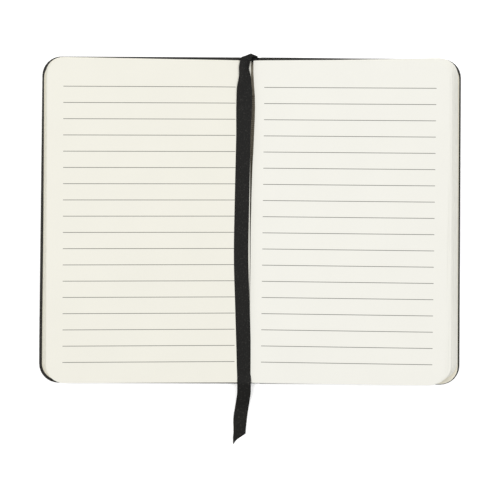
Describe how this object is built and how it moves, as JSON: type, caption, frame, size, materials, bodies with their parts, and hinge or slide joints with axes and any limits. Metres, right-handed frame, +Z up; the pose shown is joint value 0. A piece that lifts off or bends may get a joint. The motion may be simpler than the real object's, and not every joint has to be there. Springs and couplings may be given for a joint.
{
  "type": "pocket notebook",
  "caption": "Pocket notebook lying open: black flexible covers, sewn cream ruled pages with rounded corners, and a ribbon bookmark down the gutter.",
  "frame": {"origin": "on the surface that the open notebook lies on, under the centre of the spine, halfway from head to tail", "axes": "+X across the open spread towards the back cover's fore edge, +Y to the head, +Z up off the surface"},
  "size_m": [0.1822, 0.1681, 0.0068],
  "materials": {
    "cover_skin": "satin",
    "card": "matte",
    "end_paper": "matte",
    "paper": "matte",
    "gauze": "matte",
    "thread": "matte",
    "ribbon": "satin"
  },
  "bodies": {
    "spine": {"spine_cover_skin": "cover_skin", "spine_card": "card", "spine_lining_paper": "end_paper", "spine_mull": "gauze", "link_stitch_1": "thread", "link_stitch_2": "thread", "link_stitch_3": "thread", "link_stitch_4": "thread", "link_stitch_5": "thread"},
    "front_cover": {"front_cover_skin": "cover_skin", "front_cover_board": "card", "front_pastedown": "end_paper"},
    "back_cover": {"back_cover_skin": "cover_skin", "back_cover_board": "card", "back_pastedown": "end_paper"},
    "signature_1": {"signature_1": "paper", "front_flyleaf": "end_paper"},
    "signature_2": {"signature_2": "paper"},
    "signature_3": {"signature_3": "paper"},
    "signature_4": {"signature_4": "paper", "ribbon_bookmark": "ribbon"},
    "signature_5": {"signature_5": "paper"},
    "signature_6": {"signature_6": "paper"},
    "signature_7": {"signature_7": "paper"},
    "signature_8": {"signature_8": "paper", "back_flyleaf": "end_paper"},
    "leaf_33": {"leaf_33": "paper"},
    "leaf_34": {"leaf_34": "paper"},
    "leaf_35": {"leaf_35": "paper"}
  },
  "joints": [
    {"name": "front_cover_hinge", "type": "hinge", "parent": "spine", "child": "front_cover", "pos_m": [-0.00412, 0, 0.0002], "axis": [0, 1, 0], "range_deg": [0, 90], "deforming": ["ribbon_bookmark"]},
    {"name": "back_cover_hinge", "type": "hinge", "parent": "spine", "child": "back_cover", "pos_m": [0.00412, 0, 0.0002], "axis": [0, -1, 0], "range_deg": [0, 90]},
    {"name": "signature_1_fold", "type": "hinge", "parent": "spine", "child": "signature_1", "pos_m": [-0.00289, 0, 0.00143], "axis": [0, 1, 0], "range_deg": [0, 90]},
    {"name": "signature_2_fold", "type": "hinge", "parent": "spine", "child": "signature_2", "pos_m": [-0.00254, 0, 0.00179], "axis": [0, 1, 0], "range_deg": [0, 90]},
    {"name": "signature_3_fold", "type": "hinge", "parent": "spine", "child": "signature_3", "pos_m": [-0.00219, 0, 0.00214], "axis": [0, 1, 0], "range_deg": [0, 90]},
    {"name": "signature_4_fold", "type": "hinge", "parent": "spine", "child": "signature_4", "pos_m": [-0.00185, 0, 0.0025], "axis": [0, 1, 0], "range_deg": [0, 90]},
    {"name": "signature_8_fold", "type": "hinge", "parent": "spine", "child": "signature_8", "pos_m": [0.00289, 0, 0.00143], "axis": [0, -1, 0], "range_deg": [0, 90]},
    {"name": "signature_7_fold", "type": "hinge", "parent": "spine", "child": "signature_7", "pos_m": [0.00254, 0, 0.00179], "axis": [0, -1, 0], "range_deg": [0, 90]},
    {"name": "signature_6_fold", "type": "hinge", "parent": "spine", "child": "signature_6", "pos_m": [0.00219, 0, 0.00214], "axis": [0, -1, 0], "range_deg": [0, 90]},
    {"name": "signature_5_fold", "type": "hinge", "parent": "spine", "child": "signature_5", "pos_m": [0.00185, 0, 0.0025], "axis": [0, -1, 0], "range_deg": [0, 90]},
    {"name": "page_turn", "type": "hinge", "parent": "signature_5", "child": "leaf_33", "pos_m": [0, 0, 0.0042], "axis": [0, 1, 0], "range_deg": [-176.4, 0], "deforming": ["leaf_33"]},
    {"name": "leaf_34_turn", "type": "hinge", "parent": "signature_5", "child": "leaf_34", "pos_m": [0, 0, 0.0042], "axis": [0, 1, 0], "range_deg": [-176.4, 0], "deforming": ["leaf_34"]},
    {"name": "leaf_35_turn", "type": "hinge", "parent": "signature_5", "child": "leaf_35", "pos_m": [0, 0, 0.0042], "axis": [0, 1, 0], "range_deg": [-176.4, 0], "deforming": ["leaf_35"]}
  ],
  "couplings": [
    {"joint": "signature_1_fold", "follows": "front_cover_hinge", "ratio": 0.99556},
    {"joint": "signature_2_fold", "follows": "front_cover_hinge", "ratio": 0.99},
    {"joint": "signature_3_fold", "follows": "front_cover_hinge", "ratio": 0.985},
    {"joint": "signature_4_fold", "follows": "front_cover_hinge", "ratio": 0.98},
    {"joint": "signature_8_fold", "follows": "back_cover_hinge", "ratio": 0.99556},
    {"joint": "signature_7_fold", "follows": "back_cover_hinge", "ratio": 0.99},
    {"joint": "signature_6_fold", "follows": "back_cover_hinge", "ratio": 0.985},
    {"joint": "signature_5_fold", "follows": "back_cover_hinge", "ratio": 0.98},
    {"joint": "leaf_34_turn", "follows": "page_turn", "ratio": 1},
    {"joint": "leaf_35_turn", "follows": "page_turn", "ratio": 1}
  ]
}
